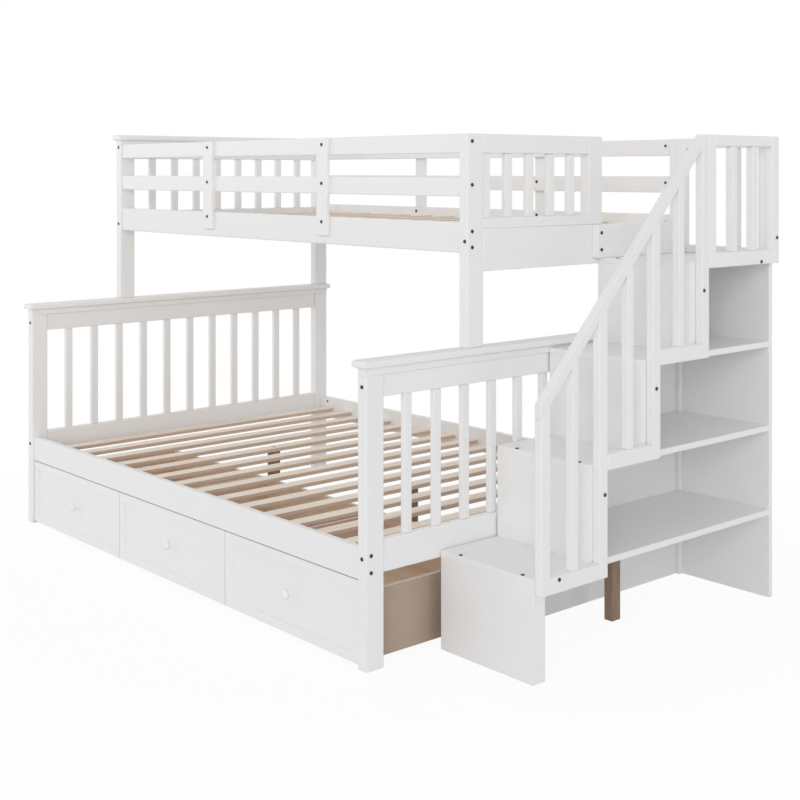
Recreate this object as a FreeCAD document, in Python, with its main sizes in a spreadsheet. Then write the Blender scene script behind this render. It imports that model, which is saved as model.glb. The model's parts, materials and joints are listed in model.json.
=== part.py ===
import FreeCAD, Part
import Sketcher
import os
import re

# A twin over full bunk bed with a flight of box stairs at its right end and three
# drawers that roll out from under its front.
# Lengths are millimetres. Layout formulas count from the floor under the front outer
# corner of the lower left post: X runs along the bed to the stairs, Y from front to
# rear, Z up. The model's own origin is the middle of its footprint on the floor.

LOWER_SPINDLES = 11
BUNK_SPINDLES = 8
ENTRY_SPINDLES = 4
SLATS = 15
LEG_SLATS = (SLATS // 3 - 1, SLATS - SLATS // 3)
STEPS = 4
DRAWERS = 3
LANDING_BALUSTERS = 2

# A value that starts with an equals sign follows the sizes that it names.
SIZES = {
    # the bed as a whole
    "bed_length": 2000,
    "bed_width": 1440,
    "bunk_width": 1057,
    # posts of both beds
    "post_thick": 36,
    "post_deep": 63,
    "lower_post_tall": "=bunk_post_top - bunk_post_tall - cap_neck_tall - cap_nose_tall",
    "bunk_post_tall": 617,
    "bunk_post_top": 1453,
    "bunk_head_top": "=bunk_post_top - bunk_head_drop",
    "bunk_head_drop": 4,
    # moulded caps over the end panels
    "cap_neck_tall": 21,
    "cap_nose_tall": 20,
    "cap_overhang": 12,
    "cap_cove_share": 0.6,
    "cap_lip_share": 0.3,
    "cap_round_share": 0.48,
    # rails and spindles of the end panels
    "end_rail_thick": 26,
    "lower_head_rail_tall": 62,
    "lower_foot_rail_low": 257,
    "lower_foot_rail_tall": 89,
    "bunk_head_rail_tall": 54,
    "bunk_foot_rail_tall": 76,
    "spindle_wide": 28.5,
    "spindle_thick": 16,
    # side rails, the ledgers on them and the slats
    "side_rail_tall": 89,
    "side_rail_thick": 22,
    "side_rail_inset": 6,
    "lower_rail_low": 240,
    "bunk_rail_low": "=bunk_post_top - bunk_rail_drop",
    "bunk_rail_drop": 345,
    "ledger_tall": 20,
    "ledger_deep": 25,
    "slat_wide": 50,
    "slat_thick": 14,
    "slat_end_gap": 30,
    "slat_play": 1,
    "lower_slat_top": 286,
    "bunk_slat_top": "=bunk_rail_low + bunk_slat_rise",
    "bunk_slat_rise": 56,
    # legs under the middle of two lower slats
    "centre_leg_wide": 36,
    # guard rails along both sides of the upper bunk
    "guard_rail_tall": 56,
    "guard_mid_low": "=bunk_post_top - 2 * guard_rail_tall - guard_gap",
    "guard_gap": 70,
    "upright_wide": 57,
    "upright_thick": 12,
    "upright_low": "=bunk_rail_low + upright_rise",
    "upright_rise": 27,
    "upright_from_middle": 334,
    # right end of the upper bunk, with the way in from the stairs
    "end_board_low": "=bunk_rail_low - end_board_drop",
    "end_board_drop": 54,
    "end_board_tall": 123,
    "end_board_thick": 26,
    "entry_strip_tall": 31,
    "entry_stile_wide": 34,
    "entry_guard_long": 471,
    "entry_spindle_wide": 30,
    # box stairs
    "stair_wide": 347,
    "stair_front": f"=stair_back - landing_long - {STEPS - 1} * step_going",
    "stair_back": "=bed_width - stair_back_inset",
    "stair_back_inset": 49,
    "landing_long": 431,
    "first_tread_top": 278,
    "step_rise": f"=(end_board_low + end_board_tall - step_board_tall - first_tread_top) / {STEPS - 1}",
    "step_board_tall": 104,
    "step_going": 228,
    "tread_thick": 18,
    "riser_thick": 18,
    "wall_thick": 6,
    "back_panel_thick": 18,
    "corner_leg_wide": 36,
    "corner_leg_deep": 30,
    "batten_wide": 16,
    "batten_deep": 18,
    "support_leg_wide": 31,
    "support_leg_deep": 39,
    "support_leg_back": 543,
    "support_leg_in": 139,
    "step_board_thick": 25,
    "step_board_start": "=stair_back - landing_long - step_board_reach",
    "step_board_reach": 30,
    "notch_clear": 0.5,
    # guard along the open side of the stairs and round the landing
    "guard_thick": 25,
    "guard_post_wide": 35,
    "guard_post_first": "=stair_front + guard_post_set",
    "guard_post_set": 5,
    "guard_post_pitch": 234.5,
    "guard_foot_tall": 44,
    "guard_foot_drop": 17,
    "baluster_wide": 25,
    "handrail_plumb": 40,
    "handrail_start": "=bunk_post_top - handrail_end_drop - handrail_climb",
    "handrail_end_drop": 5,
    "handrail_climb": 712,
    "landing_rail_tall": 33,
    "landing_stile_wide": 36,
    "rear_stile_wide": 36,
    # drawers under the front
    "drawer_face": 8,
    "drawer_low": 10,
    "drawer_top_gap": 3,
    "drawer_gap": 3,
    "drawer_front_thick": 18,
    "drawer_border": 28,
    "drawer_recess": 6,
    "drawer_recess_round": 8,
    "drawer_side_thick": 15,
    "drawer_side_tall": 188,
    "drawer_side_inset": 10,
    "drawer_deep": "=(bed_width - centre_leg_wide) / 2 - drawer_leg_clear - drawer_face - drawer_front_thick",
    "drawer_leg_clear": 76,
    "drawer_bottom_low": 40,
    "drawer_bottom_thick": 6,
    "knob_up": 116,
    "knob_neck_radius": 7,
    "knob_neck_long": 19,
    "knob_radius": 15,
    "knob_half_thick": 9,
    # rollers of the drawers
    "wheel_radius": 18,
    "wheel_wide": 12,
    "wheel_floor_gap": 0.4,
    "wheel_side_gap": 0.5,
    "wheel_inset": 70,
    "axle_radius": 4,
    "axle_clear": 0.08,
    # bolts and screws
    "bolt_head_radius": 5.5,
    "bolt_head_thick": 2,
    "bolt_radius": 3,
    "bolt_clear": 0.3,
    "frame_bolt_long": 95,
    "side_bolt_long": "=post_thick + nut_inset + 2 * nut_radius",
    "lap_bolt_long": 40,
    "upright_bolt_long": "=upright_thick + side_rail_thick - upright_bolt_short",
    "upright_bolt_short": 4,
    "stair_bolt_long": 48,
    "tread_screw_long": 45,
    "tread_screw_inset": 45,
    "slat_screw_long": 45,
    "bolt_edge": 17,
    "bolt_spread": 46,
    "bolt_lift": 6,
    "nut_radius": 5,
    "nut_inset": 42,
    # wood left over a nut on the outer face of a rail
    "nut_skin": 5,
    # how far a cutting shape runs past what it cuts
    "overrun": 5,
}

doc = FreeCAD.newDocument("stair_bunk_bed")
sheet = doc.addObject("Spreadsheet::Sheet", "Sizes")
for row, size_name in enumerate(SIZES, start=1):
    sheet.set(f"A{row}", size_name)
    sheet.setAlias(f"B{row}", size_name)
for row, size_value in enumerate(SIZES.values(), start=1):
    sheet.set(f"B{row}", str(size_value))
doc.recompute()


def formula(text):
    """A layout formula with its size names pointed at the sheet."""
    return re.sub(r"[a-z_]+", lambda word: "Sizes." + word.group(0), str(text))


def bind(thing, **formulas):
    """Bind properties of an object to formulas of the named sizes."""
    for name, text in formulas.items():
        thing.setExpression(name, formula(text))


# The model's origin, seen from the layout corner.
MIDDLE_X = "(bed_length + stair_wide + guard_thick + bolt_head_thick - cap_overhang) / 2"
KNOB_TIP = "drawer_face + drawer_recess - knob_neck_long - knob_half_thick"
MIDDLE_Y = f"(bed_width + cap_overhang + {KNOB_TIP}) / 2"


def place(thing, x, y, z):
    """Bind an object's place to layout formulas."""
    thing.setExpression("Placement.Base.x", formula(f"({x}) - ({MIDDLE_X})"))
    thing.setExpression("Placement.Base.y", formula(f"({y}) - ({MIDDLE_Y})"))
    thing.setExpression("Placement.Base.z", formula(z))


def box(x, y, z, long, deep, tall):
    """A board by its low corner and its sizes."""
    thing = doc.addObject("Part::Box", "Board")
    bind(thing, Length=long, Width=deep, Height=tall)
    place(thing, x, y, z)
    return thing


def span(x0, x1, y0, y1, z0, z1):
    """A board between pairs of planes."""
    return box(x0, y0, z0, f"({x1}) - ({x0})", f"({y1}) - ({y0})", f"({z1}) - ({z0})")


TURNS = {
    "+X": FreeCAD.Rotation(FreeCAD.Vector(0, 1, 0), 90),
    "-X": FreeCAD.Rotation(FreeCAD.Vector(0, 1, 0), -90),
    "+Y": FreeCAD.Rotation(FreeCAD.Vector(1, 0, 0), -90),
    "-Y": FreeCAD.Rotation(FreeCAD.Vector(1, 0, 0), 90),
    "+Z": FreeCAD.Rotation(),
    "-Z": FreeCAD.Rotation(FreeCAD.Vector(1, 0, 0), 180),
}
OPPOSITE = {"+X": "-X", "-X": "+X", "+Y": "-Y", "-Y": "+Y", "-Z": "+Z"}


def rod(x, y, z, way, radius, long):
    """A cylinder that starts at a point and runs one way."""
    thing = doc.addObject("Part::Cylinder", "Rod")
    thing.Placement = FreeCAD.Placement(FreeCAD.Vector(), TURNS[way])
    bind(thing, Radius=radius, Height=long)
    place(thing, x, y, z)
    return thing


def joined(first, second):
    """One solid of two that meet."""
    thing = doc.addObject("Part::Fuse", "Joined")
    thing.Base = first
    thing.Tool = second
    thing.Refine = True
    return thing


def cut_from(base, tools):
    """What is left of a solid when the tools are cut away."""
    tool = tools[0]
    if len(tools) > 1:
        tool = doc.addObject("Part::Compound", "Tools")
        tool.Links = tools
    thing = doc.addObject("Part::Cut", "Worked")
    thing.Base = base
    thing.Tool = tool
    return thing


wooden = {}
finished = {}

# Planes that several pieces share.
BED_LEFT = "0"
BED_RIGHT = "bed_length"
INSIDE_LEFT = "post_thick"
INSIDE_RIGHT = "bed_length - post_thick"
BED_REAR = "bed_width"
REAR_POST = "bed_width - post_deep"
BUNK_FRONT = "bed_width - bunk_width"
BUNK_INSIDE = "bed_width - bunk_width + post_deep"
CAP_TOP = "lower_post_tall + cap_neck_tall + cap_nose_tall"
RAIL_FRONT = "side_rail_inset"
RAIL_REAR = "bed_width - side_rail_inset - side_rail_thick"
BUNK_RAIL_FRONT = "bed_width - bunk_width + side_rail_inset"
GUARD_TOP_LOW = "bunk_post_top - guard_rail_tall"
BUNK_RAIL_TOP = "bunk_rail_low + side_rail_tall"
RAIL_LONG = "bed_length - 2 * post_thick"
END_CLEAR = "bed_width - 2 * post_deep"
BUNK_CLEAR = "bunk_width - 2 * post_deep"


def evenly(start, end, wide, count, index):
    """Low plane of one of several equal pieces, spread with equal gaps between two planes."""
    gap = f"(({end}) - ({start}) - {count} * {wide}) / {count + 1}"
    return f"({start}) + {gap} + {index} * ({gap} + {wide})"


def posts(left, fronts, low, top):
    """Posts of one end, a board each, standing at the given front planes."""
    return [span(left, f"{left} + post_thick", front, f"{front} + post_deep", low, top) for front in fronts]


def cap(left, front, low):
    """Moulded cap: a neck as wide as the posts and a nose that overhangs it, with a cove between."""
    neck_top = f"({low}) + cap_neck_tall"
    right = f"({left}) + post_thick"
    neck = span(left, right, front, BED_REAR, low, neck_top)
    nose = span(f"({left}) - cap_overhang", f"{right} + cap_overhang", f"({front}) - cap_overhang",
                "bed_width + cap_overhang", neck_top, f"{neck_top} + cap_nose_tall")
    block = joined(neck, nose)
    doc.recompute()
    overhang = sheet.get("cap_overhang")
    room = block.Shape.BoundBox
    under = nose.Shape.BoundBox.ZMin
    rounded = doc.addObject("Part::Fillet", "Cap")
    rounded.Base = block
    chosen = []
    for number, edge in enumerate(block.Shape.Edges, start=1):
        middle = edge.BoundBox.Center
        if edge.BoundBox.ZLength > overhang / 2:
            continue
        outer = min(middle.x - room.XMin, room.XMax - middle.x, middle.y - room.YMin, room.YMax - middle.y)
        if abs(middle.z - room.ZMax) < overhang / 2:
            radius = sheet.get("cap_round_share") * sheet.get("cap_nose_tall")
        elif abs(middle.z - under) > overhang / 2:
            continue
        elif outer < overhang / 2:
            radius = sheet.get("cap_lip_share") * overhang
        else:
            radius = sheet.get("cap_cove_share") * overhang
        chosen.append((number, radius, radius))
    rounded.Edges = chosen
    return rounded


# End panels of the lower bed: posts, rails, spindles and a cap, alike at both ends.
for side, left in (("left", BED_LEFT), ("right", INSIDE_RIGHT)):
    wooden[f"lower_{side}_posts"] = posts(left, ("0", REAR_POST), "0", "lower_post_tall")
    thin = f"({left}) + (post_thick - end_rail_thick) / 2"
    head_low = "lower_post_tall - lower_head_rail_tall"
    foot_top = "lower_foot_rail_low + lower_foot_rail_tall"
    wooden[f"lower_{side}_rails"] = [
        box(thin, "post_deep", head_low, "end_rail_thick", END_CLEAR, "lower_head_rail_tall"),
        box(thin, "post_deep", "lower_foot_rail_low", "end_rail_thick", END_CLEAR, "lower_foot_rail_tall"),
    ]
    middle = f"({left}) + (post_thick - spindle_thick) / 2"
    wooden[f"lower_{side}_spindles"] = [
        box(middle, evenly("post_deep", REAR_POST, "spindle_wide", LOWER_SPINDLES, n), foot_top,
            "spindle_thick", "spindle_wide", f"({head_low}) - ({foot_top})")
        for n in range(LOWER_SPINDLES)
    ]
    finished[f"lower_{side}_cap"] = cap(left, "0", "lower_post_tall")

# Left end of the upper bunk: a narrower panel of the same kind, standing on the cap.
wooden["upper_left_posts"] = posts(BED_LEFT, (BUNK_FRONT, REAR_POST), CAP_TOP, "bunk_head_top")
thin = "(post_thick - end_rail_thick) / 2"
bunk_head_low = "bunk_head_top - bunk_head_rail_tall"
bunk_foot_top = "bunk_rail_low + bunk_foot_rail_tall"
wooden["upper_left_rails"] = [
    box(thin, BUNK_INSIDE, bunk_head_low, "end_rail_thick", BUNK_CLEAR, "bunk_head_rail_tall"),
    box(thin, BUNK_INSIDE, "bunk_rail_low", "end_rail_thick", BUNK_CLEAR, "bunk_foot_rail_tall"),
]
wooden["upper_left_spindles"] = [
    box("(post_thick - spindle_thick) / 2", evenly(BUNK_INSIDE, REAR_POST, "spindle_wide", BUNK_SPINDLES, n),
        bunk_foot_top, "spindle_thick", "spindle_wide", f"({bunk_head_low}) - ({bunk_foot_top})")
    for n in range(BUNK_SPINDLES)
]
finished["upper_left_cap"] = cap(BED_LEFT, BUNK_FRONT, "bunk_head_top")

# Right end of the upper bunk: a board across, with a short guard and the way in behind it.
end_board_top = "end_board_low + end_board_tall"
end_board_left = "bed_length - end_board_thick"
entry_front = f"{BUNK_INSIDE} + entry_guard_long"
strip_top = f"{end_board_top} + entry_strip_tall"
stile_rear = f"{BUNK_INSIDE} + entry_stile_wide"
wooden["upper_right_posts"] = posts(INSIDE_RIGHT, (BUNK_FRONT, REAR_POST), CAP_TOP, "bunk_post_top")
wooden["entry_post"] = posts(INSIDE_RIGHT, (entry_front,), end_board_top, "bunk_post_top")
wooden["upper_right_end_board"] = [
    span(end_board_left, BED_RIGHT, BUNK_INSIDE, REAR_POST, "end_board_low", end_board_top),
]
wooden["entry_guard_rails"] = [
    span(end_board_left, BED_RIGHT, BUNK_INSIDE, entry_front, end_board_top, strip_top),
    span(end_board_left, BED_RIGHT, BUNK_INSIDE, entry_front, GUARD_TOP_LOW, "bunk_post_top"),
]
spindle_left = "bed_length - (end_board_thick + spindle_thick) / 2"
entry_spindles = [box(spindle_left, BUNK_INSIDE, strip_top, "spindle_thick", "entry_stile_wide",
                      f"{GUARD_TOP_LOW} - ({strip_top})")]
for n in range(ENTRY_SPINDLES):
    spot = evenly(stile_rear, entry_front, "entry_spindle_wide", ENTRY_SPINDLES, n)
    entry_spindles.append(box(spindle_left, spot, strip_top, "spindle_thick", "entry_spindle_wide",
                              f"{GUARD_TOP_LOW} - ({strip_top})"))
wooden["entry_guard_spindles"] = entry_spindles

# Side rails of both beds, ledgers along their inner faces, and slats across.
for name, rail_face, low in (("lower_front", RAIL_FRONT, "lower_rail_low"),
                             ("lower_rear", RAIL_REAR, "lower_rail_low"),
                             ("upper_front", BUNK_RAIL_FRONT, "bunk_rail_low"),
                             ("upper_rear", RAIL_REAR, "bunk_rail_low")):
    wooden[f"{name}_side_rail"] = [
        box(INSIDE_LEFT, rail_face, low, RAIL_LONG, "side_rail_thick", "side_rail_tall"),
    ]


def slat_left(n):
    """Left side of a slat, counted from 0 at the left end; both beds have the same spacing."""
    spacing = f"({RAIL_LONG} - 2 * slat_end_gap - slat_wide) / {SLATS - 1}"
    return f"{INSIDE_LEFT} + slat_end_gap + {n} * {spacing}"


ledgers = []
for name, rail_face, slat_top in (("lower", RAIL_FRONT, "lower_slat_top"),
                                  ("upper", BUNK_RAIL_FRONT, "bunk_slat_top")):
    ledger_low = f"{slat_top} - slat_thick - ledger_tall"
    for ledger_front in (f"{rail_face} + side_rail_thick", f"{RAIL_REAR} - ledger_deep"):
        ledgers.append(box(INSIDE_LEFT, ledger_front, ledger_low, RAIL_LONG, "ledger_deep", "ledger_tall"))
    slat_front = f"{rail_face} + side_rail_thick + slat_play"
    wooden[f"{name}_slats"] = [
        span(slat_left(n), f"{slat_left(n)} + slat_wide", slat_front, f"{RAIL_REAR} - slat_play",
             f"{slat_top} - slat_thick", slat_top)
        for n in range(SLATS)
    ]
wooden["slat_ledgers"] = ledgers

# The wide lower bed stands on a leg under the middle of two of its slats, with a screw down
# into each leg.
leg_middles = [f"{slat_left(n)} + slat_wide / 2" for n in LEG_SLATS]
wooden["centre_legs"] = [
    box(f"{middle} - centre_leg_wide / 2", "(bed_width - centre_leg_wide) / 2", "0", "centre_leg_wide",
        "centre_leg_wide", "lower_slat_top - slat_thick")
    for middle in leg_middles
]

# Guard rails of the upper bunk, a middle and a top one on each side, with uprights bolted
# to their outer faces.
for side, rail_face in (("front", BUNK_RAIL_FRONT), ("rear", RAIL_REAR)):
    wooden[f"{side}_guard_rails"] = [
        box(INSIDE_LEFT, rail_face, low, RAIL_LONG, "side_rail_thick", "guard_rail_tall")
        for low in ("guard_mid_low", GUARD_TOP_LOW)
    ]
upright_lefts = ("bed_length / 2 - upright_from_middle - upright_wide / 2",
                 "bed_length / 2 + upright_from_middle - upright_wide / 2")
UPRIGHT_FRONT = f"{BUNK_RAIL_FRONT} - upright_thick"
rear_rail_back = f"{RAIL_REAR} + side_rail_thick"
wooden["guard_uprights"] = [
    box(left, front, "upright_low", "upright_wide", "upright_thick", "bunk_post_top - upright_low")
    for front in (UPRIGHT_FRONT, rear_rail_back)
    for left in upright_lefts
]

# Box stairs against the right end: risers, treads that run through to the back as shelves,
# wall panels beside the bed between them, a back panel with a batten in each inner corner, and
# a board that ties the landing on.
# Each is notched where the cap of the bed reaches into it.
STAIR_RIGHT = "bed_length + stair_wide"
SHELF_BACK = "stair_back - back_panel_thick"
STEP_BOARD_RIGHT = "bed_length + step_board_thick"
REAR_GUARD = "stair_back - guard_thick"


def tread_top(step):
    """Top of a tread, counted from 0 at the lowest; the last one is the landing."""
    return f"(first_tread_top + {step} * step_rise)"


def riser_front(step):
    """Front face of a riser, counted from 0 at the lowest."""
    return f"(stair_front + {step} * step_going)"


risers = []
treads = []
wall_panels = []
corner_legs = []
cap_notch, tread_notch = [
    span(f"{BED_RIGHT} - overrun", f"{BED_RIGHT} + cap_overhang + notch_clear", "0", BED_REAR,
         f"lower_post_tall + cap_neck_tall - {reach}", f"{CAP_TOP} + notch_clear")
    for reach in ("cap_overhang", "cap_cove_share * cap_overhang - notch_clear")
]
for step in range(STEPS):
    below = tread_top(step - 1) if step else "0"
    under = f"{tread_top(step)} - tread_thick"
    face = riser_front(step)
    landing = step == STEPS - 1
    riser = span(BED_RIGHT, STAIR_RIGHT, face, f"{face} + riser_thick", below, under)
    tread_back = "stair_back" if landing else SHELF_BACK
    tread = span(BED_RIGHT, STAIR_RIGHT, face, tread_back, under, tread_top(step))
    behind = f"{face} + riser_thick"
    wall = span(BED_RIGHT, f"{BED_RIGHT} + wall_thick", behind, SHELF_BACK, below, under)
    risers.append(cut_from(riser, [cap_notch]))
    treads.append(cut_from(tread, [tread_notch]))
    wall_panels.append(cut_from(wall, [cap_notch]))
    corner_legs.append(span(f"{STAIR_RIGHT} - corner_leg_wide", STAIR_RIGHT, behind,
                            f"{behind} + corner_leg_deep", below, under))
    batten = span(f"{BED_RIGHT} + wall_thick", f"{BED_RIGHT} + wall_thick + batten_wide",
                  f"{SHELF_BACK} - batten_deep", SHELF_BACK, below, under)
    corner_legs.append(cut_from(batten, [cap_notch]))
back_panel = span(BED_RIGHT, STAIR_RIGHT, SHELF_BACK, "stair_back", "0", under)
wooden["stair_risers"] = risers
wooden["stair_treads"] = treads
wooden["stair_inner_wall"] = wall_panels
wooden["stair_corner_legs"] = corner_legs
wooden["stair_rear_panel"] = [cut_from(back_panel, [cap_notch])]
wooden["stair_support_leg"] = [
    box(f"{BED_RIGHT} + support_leg_in", "stair_front + support_leg_back", "0", "support_leg_wide",
        "support_leg_deep", "first_tread_top - tread_thick"),
]
wooden["stair_step_board"] = [
    span(BED_RIGHT, STEP_BOARD_RIGHT, "step_board_start", REAR_GUARD, tread_top(STEPS - 1), end_board_top),
]

# Guard on the open side: posts and balusters that meet a sloping handrail, foot rails between
# the posts, and a level guard round the outside and the back of the landing.
GUARD_RIGHT = "bed_length + stair_wide + guard_thick"
SLOPE = f"(handrail_climb / ({STEPS - 1} * guard_post_pitch))"


def post_front(n):
    """Front face of a guard post, counted from 0 at the foot of the stairs."""
    return f"(guard_post_first + {n} * guard_post_pitch)"


def rail_under(y):
    """Underside of the handrail above a plane of Y."""
    return f"(handrail_start - handrail_plumb + (({y}) - guard_post_first) * {SLOPE})"


def foot_low(n):
    """Low edge of the foot rail of a bay; the first one is level with its tread."""
    return f"({tread_top(n)} - {'guard_foot_drop' if n else 'guard_foot_tall'})"


def raked(front, wide, low):
    """An upright board whose top is cut to the slope of the handrail."""
    thing = doc.addObject("Part::Wedge", "Raked")
    reach = f"{rail_under(front)} - ({low})"
    bind(thing, Xmin="0", Xmax="guard_thick", X2min="0", X2max="guard_thick", Ymin="0", Ymax=wide)
    bind(thing, Zmin="0", Z2min="0", Zmax=reach, Z2max=f"{reach} + {wide} * {SLOPE}")
    place(thing, STAIR_RIGHT, front, low)
    return thing


handrail = doc.addObject("Part::Wedge", "Handrail")
bind(handrail, Xmin="0", Xmax="guard_thick", X2min="0", X2max="guard_thick", Ymin="0")
bind(handrail, Ymax=f"{STEPS - 1} * guard_post_pitch", Zmin="0", Zmax="handrail_plumb")
bind(handrail, Z2min="handrail_climb", Z2max="handrail_climb + handrail_plumb")
place(handrail, STAIR_RIGHT, "guard_post_first", "handrail_start - handrail_plumb")
wooden["stair_handrail"] = [handrail]

last = STEPS - 1
guard_posts = []
foot_rails = []
balusters = []
for n in range(last):
    front = post_front(n)
    guard_posts.append(raked(front, "guard_post_wide", foot_low(max(n - 1, 0))))
    bay_front = f"{front} + guard_post_wide"
    foot_rails.append(span(STAIR_RIGHT, GUARD_RIGHT, bay_front, post_front(n + 1), foot_low(n),
                           f"{foot_low(n)} + guard_foot_tall"))
    spot = f"({bay_front} + {post_front(n + 1)} - baluster_wide) / 2"
    balusters.append(raked(spot, "baluster_wide", f"{foot_low(n)} + guard_foot_tall"))
landing_post_rear = f"{post_front(last)} + guard_post_wide"
guard_posts.append(span(STAIR_RIGHT, GUARD_RIGHT, post_front(last), landing_post_rear, foot_low(last - 1),
                        "bunk_post_top"))

stile_low = foot_low(last)
stile_rear = f"{landing_post_rear} + landing_stile_wide"
corner_front = "stair_back - landing_stile_wide"
landing_head = "bunk_post_top - landing_rail_tall"
landing_foot = f"{stile_low} + guard_foot_tall"
guard_posts.append(span(STAIR_RIGHT, GUARD_RIGHT, landing_post_rear, stile_rear, stile_low, "bunk_post_top"))
guard_posts.append(span(STAIR_RIGHT, GUARD_RIGHT, corner_front, "stair_back", stile_low, "bunk_post_top"))
foot_rails.append(span(STAIR_RIGHT, GUARD_RIGHT, stile_rear, corner_front, stile_low, landing_foot))
landing_heads = [span(STAIR_RIGHT, GUARD_RIGHT, stile_rear, corner_front, landing_head, "bunk_post_top")]
for n in range(LANDING_BALUSTERS):
    spot = evenly(stile_rear, corner_front, "baluster_wide", LANDING_BALUSTERS, n)
    balusters.append(span(STAIR_RIGHT, GUARD_RIGHT, spot, f"{spot} + baluster_wide", landing_foot,
                          landing_head))

landing_top = tread_top(last)
rear_inside = f"{BED_RIGHT} + rear_stile_wide"
rear_end = f"{STAIR_RIGHT} - rear_stile_wide"
guard_posts.append(span(BED_RIGHT, rear_inside, REAR_GUARD, "stair_back", landing_top, "bunk_post_top"))
guard_posts.append(span(rear_end, STAIR_RIGHT, REAR_GUARD, "stair_back", landing_top, "bunk_post_top"))
foot_rails.append(span(rear_inside, rear_end, REAR_GUARD, "stair_back", landing_top, landing_foot))
landing_heads.append(span(rear_inside, rear_end, REAR_GUARD, "stair_back", landing_head, "bunk_post_top"))
for n in range(LANDING_BALUSTERS):
    spot = evenly(rear_inside, rear_end, "baluster_wide", LANDING_BALUSTERS, n)
    balusters.append(span(spot, f"{spot} + baluster_wide", REAR_GUARD, "stair_back", landing_foot,
                          landing_head))
wooden["stair_guard_posts"] = guard_posts
wooden["stair_foot_rails"] = foot_rails
wooden["stair_balusters"] = balusters
wooden["landing_top_rails"] = landing_heads

# Bolts and screws, each from a point on the face that its head sits on.
bolts = []
shanks = []
drills = []


def bolt(x, y, z, way, long):
    """A flat headed bolt, the shank alone, and the hole that it goes into."""
    head = rod(x, y, z, OPPOSITE[way], "bolt_head_radius", "bolt_head_thick")
    shank = rod(x, y, z, way, "bolt_radius", long)
    bolts.append(joined(head, shank))
    shanks.append(shank)
    drills.append(rod(x, y, z, way, "bolt_radius + bolt_clear", f"{long} + bolt_clear"))


middle_left = "post_thick / 2"
middle_right = "bed_length - post_thick / 2"
lower_head = "lower_post_tall - lower_head_rail_tall / 2"
lower_foot = "lower_foot_rail_low + lower_foot_rail_tall / 2"
bunk_head = "bunk_head_top - bolt_edge / 2"
bunk_foot = "bunk_rail_low + bolt_edge + bolt_edge / 2"
for x in (middle_left, middle_right):
    for z in (lower_head, lower_foot):
        bolt(x, "0", z, "+Y", "frame_bolt_long")
        bolt(x, BED_REAR, z, "-Y", "frame_bolt_long")
for z in (bunk_head, bunk_foot):
    bolt(middle_left, BUNK_FRONT, z, "+Y", "frame_bolt_long")
    bolt(middle_left, BED_REAR, z, "-Y", "frame_bolt_long")
end_board_middle = "bed_length - end_board_thick / 2"
end_board_level = "bunk_rail_low + 2 * bolt_edge"
bolt(end_board_middle, BUNK_FRONT, end_board_level, "+Y", "frame_bolt_long")
bolt(end_board_middle, BED_REAR, end_board_level, "-Y", "frame_bolt_long")

# Each end of a side or guard rail is drawn up to its post by a bolt into a barrel nut. The nuts
# go in from the inner faces of the rails, so that none shows from outside.
nuts = []
nut_long = "side_rail_thick - nut_skin"
lower_first = "lower_rail_low + bolt_edge + bolt_edge / 2"
lower_levels = (lower_first, f"{lower_first} + bolt_spread")
guard_levels = tuple(f"{low} + guard_rail_tall / 2 + bolt_lift" for low in ("guard_mid_low", GUARD_TOP_LOW))
bunk_levels = ("bunk_rail_low + bolt_edge", "bunk_rail_low + bolt_edge + bolt_spread", *guard_levels)
rail_ends = ((BED_LEFT, "+X", f"{INSIDE_LEFT} + nut_inset"),
             (BED_RIGHT, "-X", f"{INSIDE_RIGHT} - nut_inset"))
rail_joints = [(face, z) for face in (RAIL_FRONT, RAIL_REAR) for z in lower_levels]
rail_joints += [(face, z) for face in (BUNK_RAIL_FRONT, RAIL_REAR) for z in bunk_levels]
for rail_face, z in rail_joints:
    nut_start = rail_face if rail_face == RAIL_REAR else f"{rail_face} + nut_skin"
    hole_start = f"{rail_face} - overrun" if rail_face == RAIL_REAR else nut_start
    for x, way, nut_x in rail_ends:
        bolt(x, f"{rail_face} + side_rail_thick / 2", z, way, "side_bolt_long")
        nut = rod(nut_x, nut_start, z, "+Y", "nut_radius", nut_long)
        nuts.append(cut_from(nut, [drills[-1]]))
        shanks.append(nut)
        drills.append(rod(nut_x, hole_start, z, "+Y", "nut_radius + bolt_clear", f"{nut_long} + overrun"))

for head_face in (UPRIGHT_FRONT, RAIL_REAR):
    for left in upright_lefts:
        for z in (f"{BUNK_RAIL_TOP} - bolt_edge", *guard_levels):
            bolt(f"{left} + upright_wide / 2", head_face, z, "+Y", "upright_bolt_long")

for z in (f"{end_board_top} - bolt_edge - bolt_edge / 2", f"{landing_top} + bolt_edge + bolt_edge / 2"):
    for y in ("step_board_start + bolt_edge", f"{REAR_GUARD} - bolt_edge"):
        bolt(STEP_BOARD_RIGHT, y, z, "-X", "lap_bolt_long")
bolt(GUARD_RIGHT, f"{post_front(0)} + guard_post_wide + 2 * bolt_edge", "first_tread_top - tread_thick / 2",
     "-X", "stair_bolt_long")
for n in range(1, STEPS):
    leg_middle = f"{riser_front(n)} + riser_thick + corner_leg_deep / 2"
    bolt(GUARD_RIGHT, leg_middle, f"{tread_top(n)} - tread_thick - bolt_edge - bolt_spread", "-X",
         "stair_bolt_long")
bolt(GUARD_RIGHT, f"{corner_front} - bolt_spread - bolt_edge", f"{landing_top} - tread_thick / 2", "-X",
     "stair_bolt_long")
bolt(GUARD_RIGHT, "stair_back - guard_thick / 2", f"{landing_top} + bolt_spread + bolt_edge", "-X",
     "stair_bolt_long")
for step in range(STEPS):
    for x in (f"{STEP_BOARD_RIGHT} + tread_screw_inset", f"{STAIR_RIGHT} - tread_screw_inset"):
        bolt(x, f"{riser_front(step)} + riser_thick / 2", tread_top(step), "-Z", "tread_screw_long")

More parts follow.
